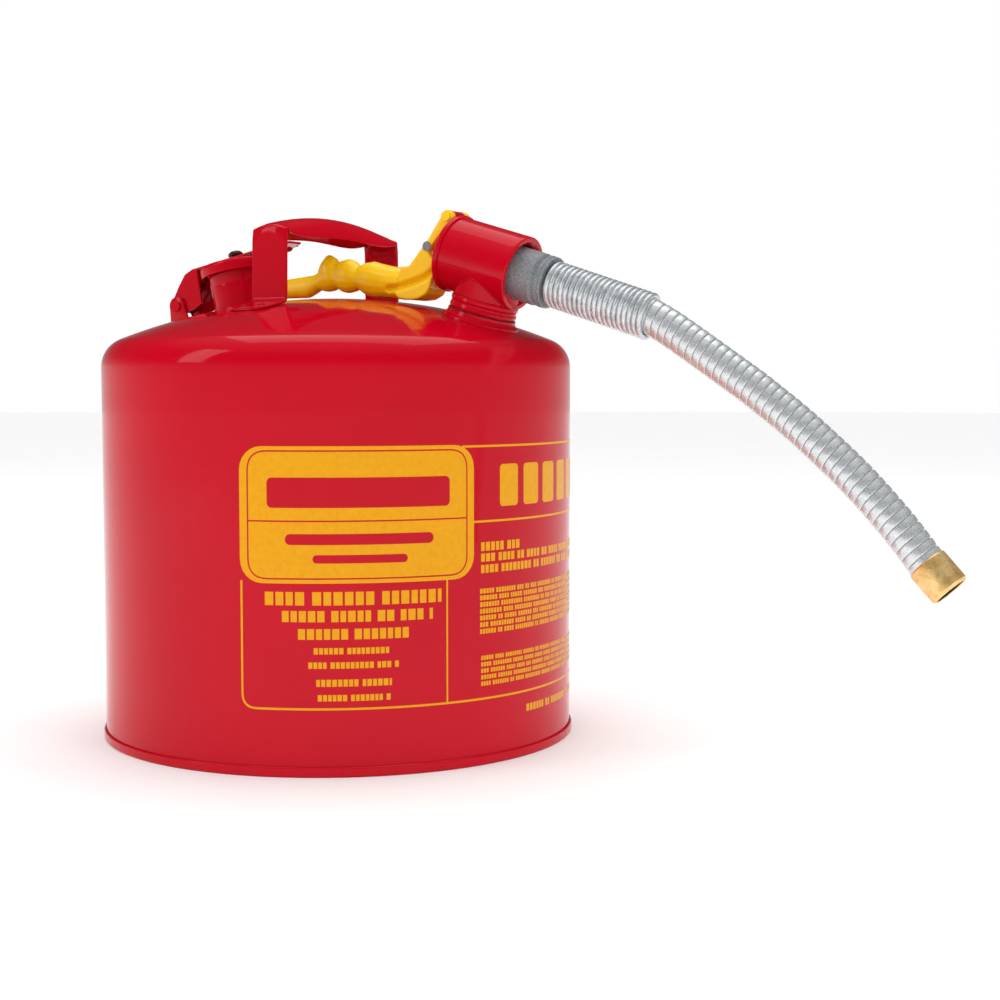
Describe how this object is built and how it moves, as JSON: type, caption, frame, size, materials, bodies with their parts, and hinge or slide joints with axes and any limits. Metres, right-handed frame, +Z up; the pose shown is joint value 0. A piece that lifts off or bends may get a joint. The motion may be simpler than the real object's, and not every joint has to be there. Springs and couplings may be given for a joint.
{
  "type": "safety gas can",
  "caption": "Round steel safety can with a domed top, strap carry handle, self-closing hinged fill cap, and a trigger-worked pour valve feeding a flexible metal spout.",
  "frame": {"origin": "centre of the drum's bottom, on the floor the chime stands on", "axes": "+Z up, +X from the fill cap to the spout, Y along the carry handle"},
  "size_m": [0.5859, 0.3174, 0.3466],
  "materials": {
    "red_paint": "gloss safety-red enamel over sheet steel",
    "yellow_trigger": "gloss yellow powder coat on a casting",
    "cast_zinc": "rough grey zinc casting",
    "galvanised_strip": "galvanised interlocked strip",
    "spring_wire": "bright zinc-plated spring wire",
    "plated_steel": "zinc-plated steel",
    "steel_screen": "perforated steel and wire screen",
    "dark_stud": "dark painted rivet",
    "brass": "machined brass, dulled",
    "black_rubber": "black fuel-proof rubber",
    "yellow_print": "screen-printed yellow enamel over the red"
  },
  "bodies": {
    "can": {"body_shell": "red_paint", "bottom_pan": "red_paint", "carry_handle": "red_paint", "handle_welds": "red_paint", "fill_neck": "red_paint", "fill_flame_arrester": "steel_screen", "cap_hinge_bracket": "red_paint", "cap_hinge_pin": "plated_steel", "pour_neck_boss": "red_paint", "neck_gasket": "black_rubber", "valve_collar": "red_paint", "pour_flame_arrester": "steel_screen", "valve_body": "red_paint", "valve_rear_cap": "red_paint", "stem_packing": "black_rubber", "gland_nut": "brass", "valve_seat_ring": "brass", "fulcrum_pin": "plated_steel", "return_spring": "spring_wire", "hose_coupling": "cast_zinc", "spring_ferrule": "plated_steel", "spring_guard": "spring_wire", "flex_hose": "galvanised_strip", "brass_tip": "brass"},
    "trigger": {"trigger": "yellow_trigger", "stem_cross_pin": "plated_steel"},
    "stem": {"valve_stem": "plated_steel", "poppet_disc": "brass", "poppet_gasket": "black_rubber", "stem_nut": "plated_steel"},
    "lever": {"cap_lever": "red_paint", "cap_spring": "spring_wire", "relief_spring": "spring_wire"},
    "cap": {"fill_cap": "red_paint", "cap_gasket": "black_rubber", "cap_stud": "dark_stud"}
  },
  "joints": [
    {"name": "trigger_squeeze", "type": "hinge", "parent": "can", "child": "trigger", "pos_m": [0.09344, 0, 0.34229], "axis": [0, 1, 0], "range_deg": [0, 7], "stiffness_Nm_per_rad": 8, "springref_deg": -8.59},
    {"name": "stem_pull", "type": "slide", "parent": "can", "child": "stem", "axis": [-0.9578, 0, 0.2874], "range_m": [0, 0.00262], "deforming": ["return_spring"]},
    {"name": "cap_hinge", "type": "hinge", "parent": "can", "child": "lever", "pos_m": [-0.13055, 0, 0.28986], "axis": [0, -1, 0], "range_deg": [0, 100], "stiffness_Nm_per_rad": 0.6, "springref_deg": -57.3, "deforming": ["cap_spring"]},
    {"name": "cap_relief", "type": "slide", "parent": "lever", "child": "cap", "axis": [-0.2028, 0, 0.9792], "range_m": [0, 0.0015], "stiffness_N_per_m": 1500, "springref_m": -0.006, "deforming": ["relief_spring"]}
  ],
  "couplings": [
    {"joint": "stem_pull", "follows": "trigger_squeeze", "m_per_rad": 0.0214}
  ]
}
